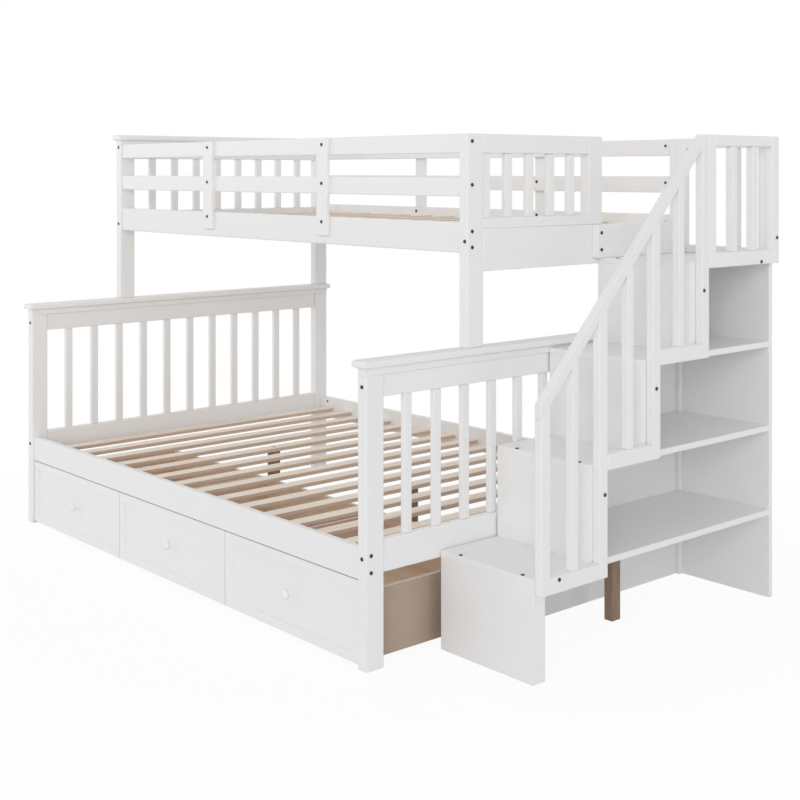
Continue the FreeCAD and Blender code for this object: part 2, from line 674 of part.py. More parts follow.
# The heads of the slat screws lie flush in the slats, so that the mattress lies flat.
head_seat = "lower_slat_top - bolt_head_thick"
for x in leg_middles:
    bolt(x, "bed_width / 2", head_seat, "-Z", "slat_screw_long")
    shanks.append(shanks[-1])
    drills.append(rod(x, "bed_width / 2", head_seat, "+Z", "bolt_head_radius + bolt_clear",
                      "bolt_head_thick + overrun"))

doc.recompute()

# Every board is drilled for each bolt whose shank runs into it.
for name, boards in wooden.items():
    drilled = []
    for board in boards:
        room = board.Shape.BoundBox
        holes = []
        for shank, drill in zip(shanks, drills):
            if not room.intersect(shank.Shape.BoundBox):
                continue
            meeting = room.intersected(shank.Shape.BoundBox)
            if min(meeting.XLength, meeting.YLength, meeting.ZLength) > shank.Radius.Value:
                holes.append(drill)
        drilled.append(cut_from(board, holes) if holes else board)
    if len(drilled) == 1:
        finished[name] = drilled[0]
    else:
        finished[name] = doc.addObject("Part::Compound", "Group")
        finished[name].Links = drilled
finished["bolts"] = doc.addObject("Part::Compound", "Group")
finished["bolts"].Links = bolts + nuts

# Drawers: a front with a sunk panel, a box of boards, a bottom, a knob and two pairs of rollers.
DRAWER_WIDE = f"((bed_length - 2 * post_thick - {DRAWERS + 1} * drawer_gap) / {DRAWERS})"
DRAWER_TALL = "(lower_rail_low - drawer_top_gap - drawer_low)"
BOX_FRONT = "drawer_face + drawer_front_thick"
WHEEL_UP = "wheel_radius + wheel_floor_gap"


def origin_plane(body, role):
    """One of a body's own origin planes."""
    return next(plane for plane in body.Origin.OriginFeatures if plane.Role == role)


def rectangle(body, name, left, low, wide, tall):
    """A sketch of a rectangle on the body's front plane, sized by formulas."""
    sketch = body.newObject("Sketcher::SketchObject", name)
    sketch.AttachmentSupport = [(origin_plane(body, "XZ_Plane"), "")]
    sketch.MapMode = "FlatFace"
    corners = [FreeCAD.Vector(*spot, 0) for spot in ((0, 0), (1, 0), (1, 1), (0, 1))]
    for n in range(4):
        sketch.addGeometry(Part.LineSegment(corners[n], corners[(n + 1) % 4]))
    for n in range(4):
        sketch.addConstraint(Sketcher.Constraint("Coincident", n, 2, (n + 1) % 4, 1))
        sketch.addConstraint(Sketcher.Constraint("Vertical" if n % 2 else "Horizontal", n))
    for kind, ends, text in (("DistanceX", (-1, 1, 0, 1), left), ("DistanceY", (-1, 1, 0, 1), low),
                             ("DistanceX", (0, 1, 0, 2), wide), ("DistanceY", (1, 1, 1, 2), tall)):
        number = sketch.addConstraint(Sketcher.Constraint(kind, *ends, 1))
        sketch.setExpression(f"Constraints[{number}]", formula(text))
    return sketch


def drawer_front(left):
    """Drawer front: a board with a sunk panel whose corners are rounded."""
    body = doc.addObject("PartDesign::Body", "DrawerFront")
    pad = body.newObject("PartDesign::Pad", "Board")
    pad.Profile = rectangle(body, "Outline", "0", "0", DRAWER_WIDE, DRAWER_TALL)
    pad.Reversed = True
    bind(pad, Length="drawer_front_thick")
    pocket = body.newObject("PartDesign::Pocket", "Panel")
    pocket.Profile = rectangle(body, "PanelOutline", "drawer_border", "drawer_border",
                               f"{DRAWER_WIDE} - 2 * drawer_border", f"{DRAWER_TALL} - 2 * drawer_border")
    bind(pocket, Length="drawer_recess")
    doc.recompute()
    if pocket.Shape.Volume >= pad.Shape.Volume:
        raise ValueError("the sunk panel of a drawer front was not cut")
    depth = pocket.Length.Value
    corners = []
    for number, edge in enumerate(pocket.Shape.Edges, start=1):
        room = edge.BoundBox
        if room.YLength > depth / 2 and room.YMax < (pad.Length.Value + depth) / 2:
            corners.append(f"Edge{number}")
    rounding = body.newObject("PartDesign::Fillet", "Corners")
    rounding.Base = (pocket, corners)
    bind(rounding, Radius="drawer_recess_round")
    place(body, left, "drawer_face", "drawer_low")
    return body


def drawer_wheel(inner_face, y, way):
    """A roller with a stub axle that turns in the drawer's side."""
    sign = "+" if way == "-X" else "-"
    hub = f"({inner_face}) {sign} wheel_side_gap"
    tyre = rod(hub, y, WHEEL_UP, OPPOSITE[way], "wheel_radius", "wheel_wide")
    stub = rod(hub, y, WHEEL_UP, way, "axle_radius", "drawer_side_thick + wheel_side_gap")
    return joined(tyre, stub)


for number in range(1, DRAWERS + 1):
    name = f"drawer_{number}"
    left = f"post_thick + drawer_gap + {number - 1} * ({DRAWER_WIDE} + drawer_gap)"
    right = f"{left} + {DRAWER_WIDE}"
    box_left = f"{left} + drawer_side_inset"
    box_right = f"{right} - drawer_side_inset"
    box_rear = f"{BOX_FRONT} + drawer_deep"
    side_top = "drawer_low + drawer_side_tall"
    finished[f"{name}_front"] = drawer_front(left)
    inner_left = f"{box_left} + drawer_side_thick"
    inner_right = f"{box_right} - drawer_side_thick"
    inner_rear = f"{box_rear} - drawer_side_thick"
    left_side = span(box_left, inner_left, BOX_FRONT, box_rear, "drawer_low", side_top)
    right_side = span(inner_right, box_right, BOX_FRONT, box_rear, "drawer_low", side_top)
    back = span(inner_left, inner_right, inner_rear, box_rear, "drawer_bottom_low", side_top)
    wheel_rows = {"front": f"{BOX_FRONT} + wheel_inset", "rear": f"{box_rear} - wheel_inset"}
    bores = {"left": [], "right": []}
    for row, y in wheel_rows.items():
        bores["left"].append(rod(f"{box_left} - overrun", y, WHEEL_UP, "+X", "axle_radius + axle_clear",
                                 "drawer_side_thick + 2 * overrun"))
        bores["right"].append(rod(f"{box_right} + overrun", y, WHEEL_UP, "-X", "axle_radius + axle_clear",
                                  "drawer_side_thick + 2 * overrun"))
        pair = doc.addObject("Part::Compound", "Wheels")
        pair.Links = [drawer_wheel(inner_left, y, "-X"), drawer_wheel(inner_right, y, "+X")]
        finished[f"{name}_{row}_wheels"] = pair
    box_group = doc.addObject("Part::Compound", "Box")
    box_group.Links = [cut_from(left_side, bores["left"]), cut_from(right_side, bores["right"]), back]
    finished[f"{name}_box"] = box_group
    finished[f"{name}_bottom"] = span(inner_left, inner_right, BOX_FRONT, inner_rear, "drawer_bottom_low",
                                      "drawer_bottom_low + drawer_bottom_thick")
    knob_x = f"{left} + {DRAWER_WIDE} / 2"
    knob_z = "drawer_low + knob_up"
    neck = rod(knob_x, "drawer_face + drawer_recess", knob_z, "-Y", "knob_neck_radius", "knob_neck_long")
    head = doc.addObject("Part::Ellipsoid", "KnobHead")
    bind(head, Radius1="knob_half_thick", Radius2="knob_radius", Radius3="knob_radius")
    head.Placement = FreeCAD.Placement(FreeCAD.Vector(), TURNS["-Y"])
    place(head, knob_x, "drawer_face + drawer_recess - knob_neck_long", knob_z)
    finished[f"{name}_knob"] = joined(neck, head)

for label, thing in finished.items():
    thing.Label = label
doc.recompute()

for thing in doc.Objects:
    if "Invalid" in thing.State or "Error" in thing.State:
        raise ValueError(f"{thing.Name} ({thing.Label}) failed: {thing.State}")
for label, thing in finished.items():
    if thing.Shape.isNull() or not thing.Shape.isValid():
        raise ValueError(f"{label} has no valid shape")
os.makedirs("parts", exist_ok=True)
for label, thing in finished.items():
    thing.Shape.exportStep(f"parts/{label}.step")
print(f"{len(finished)} nodes, {sum(len(thing.Shape.Solids) for thing in finished.values())} solids")
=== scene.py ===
# %% [markdown]
# A white bunk bed with box stairs, dressed in Blender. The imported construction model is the
# frame of this scene: it says where every board is, and nothing here moves or resizes it.
# What this lesson adds is what a joiner and a painter add: edges taken off with sandpaper,
# a satin coat of paint, the figure of bare pine, turned knobs and black bolts.

# %% Load the frame
import json
import math
import random

import bmesh
import bpy
from mathutils import Matrix, Vector

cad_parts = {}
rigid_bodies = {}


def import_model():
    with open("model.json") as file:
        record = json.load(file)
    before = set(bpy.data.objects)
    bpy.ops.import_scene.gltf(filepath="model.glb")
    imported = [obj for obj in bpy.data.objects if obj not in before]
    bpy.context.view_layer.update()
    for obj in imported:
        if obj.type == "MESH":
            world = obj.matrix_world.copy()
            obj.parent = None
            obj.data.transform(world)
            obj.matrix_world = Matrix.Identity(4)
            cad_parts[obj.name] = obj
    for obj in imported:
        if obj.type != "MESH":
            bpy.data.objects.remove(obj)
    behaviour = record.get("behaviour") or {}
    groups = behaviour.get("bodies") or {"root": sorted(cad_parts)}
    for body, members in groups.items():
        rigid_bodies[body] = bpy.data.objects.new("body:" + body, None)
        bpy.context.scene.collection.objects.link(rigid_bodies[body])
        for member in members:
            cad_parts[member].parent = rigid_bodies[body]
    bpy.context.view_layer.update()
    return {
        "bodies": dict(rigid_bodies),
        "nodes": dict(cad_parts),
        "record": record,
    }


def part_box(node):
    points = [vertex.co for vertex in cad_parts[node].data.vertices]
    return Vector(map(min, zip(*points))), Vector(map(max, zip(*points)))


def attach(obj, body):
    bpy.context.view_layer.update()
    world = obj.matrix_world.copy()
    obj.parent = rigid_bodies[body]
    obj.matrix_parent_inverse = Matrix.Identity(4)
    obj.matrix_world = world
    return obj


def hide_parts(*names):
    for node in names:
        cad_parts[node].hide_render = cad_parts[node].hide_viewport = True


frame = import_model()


# %% [markdown]
# The boards of one node arrive as loose triangles, solid after solid. A solid is complete as
# soon as every edge has met its twin, so one walk along the triangles finds where each board
# starts and ends. That is safer than merging first, because boards that touch would then
# grow together at their corners.

# %% Find the solids of a node
POINT_DIGITS = 6


def solids_of(node):
    """First and last triangle and all points of each solid in a node."""
    mesh = frame["nodes"][node].data
    solids, lone_edges, points, first = [], set(), set(), 0
    for face in mesh.polygons:
        spots = [tuple(round(c, POINT_DIGITS) for c in mesh.vertices[i].co) for i in face.vertices]
        points.update(spots)
        for start, end in zip(spots, spots[1:] + spots[:1]):
            lone_edges ^= {(min(start, end), max(start, end))}
        if not lone_edges:
            solids.append((first, face.index, points))
            points, first = set(), face.index + 1
    return solids


def corners_of(points):
    """Lowest and highest corner of a cloud of points."""
    return (Vector([min(p[axis] for p in points) for axis in range(3)]),
            Vector([max(p[axis] for p in points) for axis in range(3)]))


print("slats in the lower bed:", len(solids_of("lower_slats")))

# %% [markdown]
# A planed board is a block with its arrises taken off. Most boards here are plain blocks, so
# a cube is set into the board's corners and its edges are bevelled. A board with a raked end
# is the hull of its own points. A board with a real notch, bore or sunk panel is copied from
# the frame, merged, and bevelled only along its long sharp edges, which leaves the bores.

# %% Shape one board
FLAT = math.radians(0.5)
SHARP = math.radians(50)
WELD = 0.00001
LONG_EDGE = 0.012
EASE_STEPS = 2
ROUND = 0.5


def verts_in(geom):
    """The points among what a mesh operator returns."""
    return [part for part in geom if isinstance(part, bmesh.types.BMVert)]


def edges_in(geom):
    """The edges among what a mesh operator returns."""
    return [part for part in geom if isinstance(part, bmesh.types.BMEdge)]


def take_off_edges(bm, edges, ease):
    """Round over the given edges as sandpaper does: only the new strips are shaded smooth."""
    for face in bm.faces:
        face.smooth = False
    strips = bmesh.ops.bevel(bm, geom=edges, offset=ease, offset_type="OFFSET", segments=EASE_STEPS,
                             profile=ROUND, affect="EDGES", clamp_overlap=True, material=-1)["faces"]
    for face in strips:
        face.smooth = True


def block(points, ease):
    """A plain board: a cube set into the corners of the solid."""
    low, high = corners_of(points)
    bm = bmesh.new()
    bmesh.ops.create_cube(bm, size=1)
    bmesh.ops.scale(bm, vec=high - low, verts=bm.verts)
    bmesh.ops.translate(bm, vec=(low + high) / 2, verts=bm.verts)
    take_off_edges(bm, bm.edges[:], ease)
    return bm


def raked_board(points, ease):
    """A board with a sloping end: the hull of its points."""
    bm = bmesh.new()
    for spot in sorted(points):
        bm.verts.new(spot)
    hull = bmesh.ops.convex_hull(bm, input=bm.verts)
    loose = set(verts_in(hull["geom_interior"] + hull["geom_unused"]))
    bmesh.ops.delete(bm, geom=list(loose), context="VERTS")
    bmesh.ops.dissolve_limit(bm, angle_limit=FLAT, verts=bm.verts, edges=bm.edges)
    bmesh.ops.recalc_face_normals(bm, faces=bm.faces)
    take_off_edges(bm, bm.edges[:], ease)
    return bm


def copied_board(node, first, last, ease):
    """A board with notches or bores: its own triangles, merged and eased along the long edges."""
    bm = bmesh.new()
    bm.from_mesh(frame["nodes"][node].data)
    others = [face for face in bm.faces if not first <= face.index <= last]
    bmesh.ops.delete(bm, geom=others, context="FACES")
    bmesh.ops.remove_doubles(bm, verts=bm.verts, dist=WELD)
    bmesh.ops.dissolve_limit(bm, angle_limit=FLAT, verts=bm.verts, edges=bm.edges)
    if ease:
        edges = [e for e in bm.edges if len(e.link_faces) == 2 and e.calc_length() > LONG_EDGE
                 and e.calc_face_angle() > SHARP]
        take_off_edges(bm, edges, ease)
    return bm


def is_block(points):
    """True if all eight corners of the solid's box are points of the solid."""
    low, high = corners_of(points)
    return all(any((Vector(p) - Vector((x, y, z))).length < WELD for p in points)
               for x in (low.x, high.x) for y in (low.y, high.y) for z in (low.z, high.z))


print("a slat is a plain block:", is_block(solids_of("lower_slats")[0][2]))

# %% [markdown]
# Wood grain runs along a board, and no two boards are alike. Each board therefore carries a
# private coordinate, "grain", whose first axis runs along its length and which starts at a
# drawn spot, and a drawn "tone" between 0 and 1. Materials read these instead of one space
# for the whole bed, so the figure never runs on from one slat into the next.

# %% Gather boards into one piece
WANDER = 6.0
CREASE = math.radians(35)


def along_axis(low, high):
    """Unit vectors along and across a board, the longest side first."""
    order = sorted(range(3), key=lambda axis: low[axis] - high[axis])
    return [Vector([float(axis == side) for axis in range(3)]) for side in order]


def gathered(boards, seed, axes=None):
    """One bmesh of several boards, each with its grain coordinate and its tone."""
    whole = bmesh.new()
    whole.verts.layers.float_vector.new("grain")
    whole.verts.layers.float.new("tone")
    for number, board in enumerate(boards):
        draw = random.Random(f"{seed} {number}")
        scrap = bpy.data.meshes.new("scrap")
        board.to_mesh(scrap)
        board.free()
        start = len(whole.verts)
        whole.from_mesh(scrap)
        bpy.data.meshes.remove(scrap)
        whole.verts.ensure_lookup_table()
        grain = whole.verts.layers.float_vector["grain"]
        tone = whole.verts.layers.float["tone"]
        fresh = whole.verts[start:]
        along = axes or along_axis(*corners_of([v.co for v in fresh]))
        shift = Vector([draw.uniform(0, WANDER) for _ in range(3)])
        shade = draw.random()
        for vert in fresh:
            vert[grain] = Vector([vert.co.dot(way) for way in along]) + shift
            vert[tone] = shade
    return whole


def piece_from(bm, name, material, slot, body, *nodes, smooth=False):
    """Turn a bmesh into a finished piece that rides on a body and stands for its nodes."""
    mesh = bpy.data.meshes.new(name)
    bm.to_mesh(mesh)
    bm.free()
    mesh.materials.append(material)
    if smooth:
        mesh.shade_smooth()
        mesh.set_sharp_from_angle(angle=CREASE)
    piece = bpy.data.objects.new(name, mesh)
    bpy.context.scene.collection.objects.link(piece)
    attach(piece, body)
    if nodes:
        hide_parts(*nodes)
    return piece


first_slat = corners_of(solids_of("lower_slats")[0][2])
print("a slat runs along:", tuple(along_axis(*first_slat)[0]))

# %% [markdown]
# Materials are made of shader nodes. A few small helpers keep the cells short: they add a node
# and fill its sockets with values or links, do a sum, mix two colours, stretch a vector, make
# noise or a soft step, and open an empty group.

# %% Helpers for shader nodes
def add(tree, kind, settings=(), **inputs):
    """Add a node, set its options and fill its sockets with values or links."""
    made = tree.nodes.new(kind)
    for option, value in dict(settings).items():
        setattr(made, option, value)
    for name, value in inputs.items():
        socket = made.inputs[int(name[1:])] if name[0] == "i" and name[1:].isdigit() else made.inputs[name]
        if isinstance(value, bpy.types.NodeSocket):
            tree.links.new(value, socket)
        else:
            socket.default_value = value
    return made


def sum_of(tree, operation, *values):
    """Result of one math node."""
    inputs = {f"i{n}": value for n, value in enumerate(values)}
    return add(tree, "ShaderNodeMath", {"operation": operation}, **inputs).outputs[0]


def mixed(tree, factor, first, second):
    """A colour between two colours."""
    return add(tree, "ShaderNodeMix", {"data_type": "RGBA"}, i0=factor, i6=first, i7=second).outputs[2]


def stretched(tree, vector, scale):
    """A vector scaled axis by axis."""
    return add(tree, "ShaderNodeVectorMath", {"operation": "MULTIPLY"}, i0=vector, i1=scale).outputs[0]


def soft_noise(tree, vector, scale, detail):
    """A value between 0 and 1 that wanders over a vector."""
    return add(tree, "ShaderNodeTexNoise", Vector=vector, Scale=scale, Detail=detail).outputs[0]


def band(tree, value, low, high):
    """0 below one limit, 1 above another, and smooth between them."""
    return add(tree, "ShaderNodeMapRange", {"interpolation_type": "SMOOTHSTEP"}, Value=value,
               **{"From Min": low, "From Max": high}).outputs[0]


def new_group(name, inputs, outputs):
    """An empty shader node group with named sockets."""
    group = bpy.data.node_groups.new(name, "ShaderNodeTree")
    for socket, kind in inputs:
        group.interface.new_socket(socket, in_out="INPUT", socket_type=kind)
    for socket, kind in outputs:
        group.interface.new_socket(socket, in_out="OUTPUT", socket_type=kind)
    return group, group.nodes.new("NodeGroupInput"), group.nodes.new("NodeGroupOutput")


FLOAT, VECTOR = "NodeSocketFloat", "NodeSocketVector"
print("kinds of group sockets:", FLOAT, VECTOR)

# %% [markdown]
# Softwood shows three things: growth rings drawn out into long lines, fine fibres, and now
# and then a browner streak of heartwood. The same figure is wanted strong on bare slats, dull
# on raw board, and only as a faint relief under paint, so it is a group with its own sockets.

# %% The figure of wood
figure, given, result = new_group("wood_figure", [("Grain", VECTOR), ("Rings", FLOAT)],
                                  [("Lines", FLOAT), ("Fibres", FLOAT), ("Heart", FLOAT)])
drawn_out = stretched(figure, given.outputs["Grain"], (0.55, 9.0, 9.0))
swell = soft_noise(figure, drawn_out, 1.6, 2.0)
lines = sum_of(figure, "SINE", sum_of(figure, "MULTIPLY", swell, given.outputs["Rings"]))
figure.links.new(sum_of(figure, "MULTIPLY_ADD", lines, 0.5, 0.5), result.inputs["Lines"])
fibre_space = stretched(figure, given.outputs["Grain"], (7.0, 240.0, 240.0))
figure.links.new(soft_noise(figure, fibre_space, 2.0, 3.0), result.inputs["Fibres"])
heart_space = stretched(figure, given.outputs["Grain"], (1.1, 14.0, 14.0))
heart = band(figure, soft_noise(figure, heart_space, 1.3, 1.0), 0.58, 0.74)
figure.links.new(heart, result.inputs["Heart"])
print("group:", figure.name)

# %% [markdown]
# A sprayed and rubbed coat is never quite flat: it has a fine orange peel, faint marks along
# the board and a slow cloudiness. Plastic and blackened steel have the same kind of skin at
# other strengths, so this is a group too.

# %% The skin of a coat
skin, given, result = new_group("coat_skin", [("Grain", VECTOR), ("Peel", FLOAT)],
                                [("Height", FLOAT), ("Cloud", FLOAT)])
peel = soft_noise(skin, given.outputs["Grain"], given.outputs["Peel"], 2.0)
rubbed = soft_noise(skin, stretched(skin, given.outputs["Grain"], (5.0, 160.0, 160.0)), 1.5, 2.0)
height = sum_of(skin, "MULTIPLY_ADD", rubbed, 0.6, peel)
skin.links.new(height, result.inputs["Height"])
skin.links.new(soft_noise(skin, given.outputs["Grain"], 3.5, 3.0), result.inputs["Cloud"])
print("group:", skin.name)


# %% [markdown]
# Every finish starts alike: a shader with the board's own grain and tone at hand. The two
# groups are then set into it, and a bump node turns a height into the slight relief that
# fingers feel on wood or paint.

# %% Start a finish
GRAIN_DEPTH = 0.0006


def new_finish(name):
    """A material with its shader, the board's grain vector and the board's tone."""
    material = bpy.data.materials.new(name)
    material.use_nodes = True
    tree = material.node_tree
    shader = tree.nodes["Principled BSDF"]
    grain = add(tree, "ShaderNodeAttribute", {"attribute_name": "grain"}).outputs["Vector"]
    tone = add(tree, "ShaderNodeAttribute", {"attribute_name": "tone"}).outputs["Fac"]
    return material, tree, shader, grain, tone


def placed(tree, group, **inputs):
    """A node group set into a material."""
    return add(tree, "ShaderNodeGroup", {"node_tree": group}, **inputs).outputs


def relief(tree, shader, height, strength, depth):
    """Feed a height to the shader's normal through a bump node."""
    bump = add(tree, "ShaderNodeBump", Height=height, Strength=strength, Distance=depth)
    tree.links.new(bump.outputs[0], shader.inputs["Normal"])


print("groups to set in:", figure.name, skin.name, "relief up to", GRAIN_DEPTH, "m")

# %% [markdown]
# The bed is painted satin white. The white is a light grey in the photograph, with hardly any
# hue. It gets a cloudiness of one or two percent, a tone of its own for each board, and the
# grain of the wood as a faint relief.

# %% White paint
white_paint, tree, shader, grain, tone = new_finish("satin_white_paint")
coat = placed(tree, skin, Grain=grain, Peel=420.0)
wood = placed(tree, figure, Grain=grain, Rings=46.0)
cloudy = sum_of(tree, "MULTIPLY_ADD", tone, 0.45, sum_of(tree, "MULTIPLY", coat["Cloud"], 0.55))
base = mixed(tree, cloudy, (0.88, 0.878, 0.879, 1), (0.93, 0.928, 0.929, 1))
tree.links.new(mixed(tree, sum_of(tree, "MULTIPLY", wood["Lines"], 0.03), base, (0.80, 0.79, 0.78, 1)),
               shader.inputs["Base Color"])
tree.links.new(sum_of(tree, "MULTIPLY_ADD", coat["Cloud"], 0.16, 0.34), shader.inputs["Roughness"])
relief(tree, shader, sum_of(tree, "MULTIPLY_ADD", wood["Fibres"], 0.5, coat["Height"]), 0.12, GRAIN_DEPTH)
print("finish:", white_paint.name)

# %% [markdown]
# The slats are bare pine: pale, a little pink or yellow from slat to slat, with darker lines
# along them and a brown streak on a few. Their edges are coloured a darker brown as painted
# shade, for the shade that falls between the slats. A value on each face, "upright", says which
# faces are edges. Bare wood is dull, so its roughness is high.

# %% Bare pine
pine, tree, shader, grain, tone = new_finish("bare_planed_pine")
wood = placed(tree, figure, Grain=grain, Rings=58.0)
edge_shade_mask = add(tree, "ShaderNodeAttribute", {"attribute_name": "upright"}).outputs["Fac"]
slat_hue = mixed(tree, tone, (0.97, 0.87, 0.78, 1), (0.97, 0.90, 0.78, 1))
ringed = mixed(tree, sum_of(tree, "MULTIPLY", wood["Lines"], 0.32), slat_hue, (0.88, 0.71, 0.58, 1))
streaked = mixed(tree, sum_of(tree, "MULTIPLY", wood["Heart"], 0.4), ringed, (0.62, 0.41, 0.28, 1))
planed = mixed(tree, band(tree, wood["Fibres"], 0.5, 0.85), streaked, (0.91, 0.77, 0.66, 1))
# Painted shade: the upright edges of the slats take a darker brown for the shade between the slats.
painted_edge_shade = mixed(tree, wood["Fibres"], (0.56, 0.42, 0.33, 1), (0.76, 0.62, 0.51, 1))
tree.links.new(mixed(tree, edge_shade_mask, planed, painted_edge_shade), shader.inputs["Base Color"])
tree.links.new(sum_of(tree, "MULTIPLY_ADD", wood["Lines"], -0.1, 0.68), shader.inputs["Roughness"])
relief(tree, shader, sum_of(tree, "MULTIPLY_ADD", wood["Lines"], 0.4, wood["Fibres"]), 0.25, GRAIN_DEPTH)
print("finish:", pine.name)

# %% [markdown]
# The boxes of the drawers are brown board: a smooth taupe skin outside, warm bare wood inside
# and a pale strip glued along the top edge. Two values on each face tell these apart: "upright"
# is 1 on the sides and 0 on the edges, and "outer" is 1 on the sides that look outwards. The
# bottoms are the same bare wood all over.

# %% Raw brown board
brown_board, tree, shader, grain, tone = new_finish("raw_brown_board")
wood = placed(tree, figure, Grain=grain, Rings=24.0)
coat = placed(tree, skin, Grain=grain, Peel=160.0)
outer = add(tree, "ShaderNodeAttribute", {"attribute_name": "outer"}).outputs["Fac"]
upright = add(tree, "ShaderNodeAttribute", {"attribute_name": "upright"}).outputs["Fac"]
board_hue = mixed(tree, tone, (0.88, 0.71, 0.56, 1), (0.91, 0.76, 0.62, 1))
ringed = mixed(tree, sum_of(tree, "MULTIPLY", wood["Lines"], 0.25), board_hue, (0.74, 0.55, 0.41, 1))
bare = mixed(tree, band(tree, wood["Fibres"], 0.4, 0.8), ringed, (0.72, 0.54, 0.40, 1))
strip = mixed(tree, wood["Lines"], (0.93, 0.84, 0.74, 1), (0.85, 0.72, 0.58, 1))
taupe = mixed(tree, coat["Cloud"], (0.42, 0.325, 0.25, 1), (0.50, 0.395, 0.31, 1))
skinned = mixed(tree, sum_of(tree, "MULTIPLY", wood["Lines"], 0.15), taupe, (0.40, 0.30, 0.23, 1))
sides = mixed(tree, outer, bare, skinned)
tree.links.new(mixed(tree, upright, strip, sides), shader.inputs["Base Color"])
tree.links.new(sum_of(tree, "MULTIPLY_ADD", coat["Cloud"], 0.15, 0.64), shader.inputs["Roughness"])
relief(tree, shader, wood["Fibres"], 0.3, GRAIN_DEPTH)
print("finish:", brown_board.name)

# %% [markdown]
# The leg under the stairs and the two under the slats are wood stained a dark brown. The stain
# sinks deeper between the growth rings, so the lines of the grain come out darker.

# %% Stained legs
stained_leg, tree, shader, grain, tone = new_finish("stained_brown_leg")
wood = placed(tree, figure, Grain=grain, Rings=24.0)
coat = placed(tree, skin, Grain=grain, Peel=160.0)
stain = mixed(tree, tone, (0.27, 0.175, 0.12, 1), (0.33, 0.22, 0.155, 1))
ringed = mixed(tree, sum_of(tree, "MULTIPLY", wood["Lines"], 0.25), stain, (0.19, 0.12, 0.082, 1))
tree.links.new(mixed(tree, band(tree, wood["Fibres"], 0.4, 0.8), ringed, (0.38, 0.26, 0.185, 1)),
               shader.inputs["Base Color"])
tree.links.new(sum_of(tree, "MULTIPLY_ADD", coat["Cloud"], 0.15, 0.6), shader.inputs["Roughness"])
relief(tree, shader, wood["Fibres"], 0.3, GRAIN_DEPTH)
print("finish:", stained_leg.name)

# %% [markdown]
# Bolts are black oxide steel and the drawer rollers dark moulded plastic. Both are small, so
# they only need a broken sheen and a slight cloudiness.

# %% Blackened steel and roller plastic
black_steel, tree, shader, grain, tone = new_finish("black_oxide_steel")
coat = placed(tree, skin, Grain=grain, Peel=900.0)
oxide = mixed(tree, coat["Cloud"], (0.045, 0.044, 0.044, 1), (0.10, 0.097, 0.095, 1))
tree.links.new(oxide, shader.inputs["Base Color"])
tree.links.new(sum_of(tree, "MULTIPLY_ADD", coat["Cloud"], 0.25, 0.32), shader.inputs["Roughness"])
shader.inputs["Metallic"].default_value = 0.6
relief(tree, shader, coat["Height"], 0.1, 0.0002)

roller_plastic, tree, shader, grain, tone = new_finish("moulded_roller_plastic")
coat = placed(tree, skin, Grain=grain, Peel=1400.0)
dark_plastic = mixed(tree, coat["Cloud"], (0.13, 0.13, 0.138, 1), (0.19, 0.19, 0.2, 1))
tree.links.new(dark_plastic, shader.inputs["Base Color"])
tree.links.new(sum_of(tree, "MULTIPLY_ADD", coat["Cloud"], 0.2, 0.45), shader.inputs["Roughness"])
relief(tree, shader, coat["Height"], 0.2, 0.0003)
finishes = {"white_paint": white_paint, "pine": pine, "brown_board": brown_board,
            "black_bolts": black_steel, "roller_plastic": roller_plastic}
print("finishes:", sorted(finishes))

# %% [markdown]
# Now every board gets its eased edges. Structural members are rounded most, thin panels least.
# The handrail climbs, so its grain runs along the slope and not along an axis.

# %% Dress the boards
slot_of = {part["node"]: part["material_slot"] for part in frame["record"]["subparts"]}
bodies = frame["record"]["behaviour"]["bodies"]
body_of = {node: body for body, nodes in bodies.items() for node in nodes}
EASES = {"posts": 0.003, "rails": 0.003, "rail": 0.003, "spindles": 0.0025, "slats": 0.002,
         "treads": 0.0009, "risers": 0.0007, "wall": 0.0006, "panel": 0.001, "ledgers": 0.0015,
         "bottom": 0.0005, "box": 0.0012, "front": 0.0018}
PLAIN_EASE = 0.0025
NOT_BOARDS = ("cap", "bolts", "knob", "wheels")
COPIED = ("risers", "panel", "box", "front")
BLOCK_CORNERS = 8
UPRIGHT = 0.5
BORED = ("slats", "legs")
MARKED = ("slats", "box", "bottom")
STAINED = ("stair_support_leg", "centre_legs")


def mark_faces(bm, bare):
    """Mark the upright faces of a piece, and those of them that look away from its middle.

    A sheet that is bare all over counts as upright everywhere and as outer nowhere.
    """
    low, high = corners_of([v.co for v in bm.verts])
    bm.faces.layers.float.new("upright")
    bm.faces.layers.float.new("outer")
    upright, outer = bm.faces.layers.float["upright"], bm.faces.layers.float["outer"]
    bm.normal_update()
    for face in bm.faces:
        away = face.normal.dot(face.calc_center_median() - (low + high) / 2) > 0
        face[upright] = float(bare or abs(face.normal.z) < UPRIGHT)
        face[outer] = float(not bare) * face[upright] * away


rail_low, rail_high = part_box("stair_handrail")
climb = Vector((0, rail_high.y - rail_low.y, rail_high.z - rail_low.z)).normalized()
handrail_axes = [climb, Vector((1, 0, 0)), climb.cross(Vector((1, 0, 0)))]

for node in sorted(frame["nodes"]):
    kind = node.rsplit("_", 1)[-1]
    if kind in NOT_BOARDS:
        continue
    ease = EASES.get(kind, PLAIN_EASE)
    boards = []
    for first, last, points in solids_of(node):
        if kind in COPIED or (kind in BORED and len(points) > BLOCK_CORNERS):
            boards.append(copied_board(node, first, last, ease))
        elif is_block(points):
            boards.append(block(points, ease))
        else:
            boards.append(raked_board(points, ease))
    slot = slot_of[node]
    bm = gathered(boards, node, handrail_axes if node == "stair_handrail" else None)
    faces = len(bm.faces)
    if kind in MARKED:
        mark_faces(bm, kind == "bottom")
    finish = stained_leg if node in STAINED else finishes[slot]
    piece_from(bm, f"eased_{node}", finish, slot, body_of[node], node)
    print(f"{node}: {len(boards)} boards, {faces} faces")

# %% [markdown]
# The moulded caps already have their cove, lip and rounded top in the frame, so a merged copy
# with smooth shading is enough.

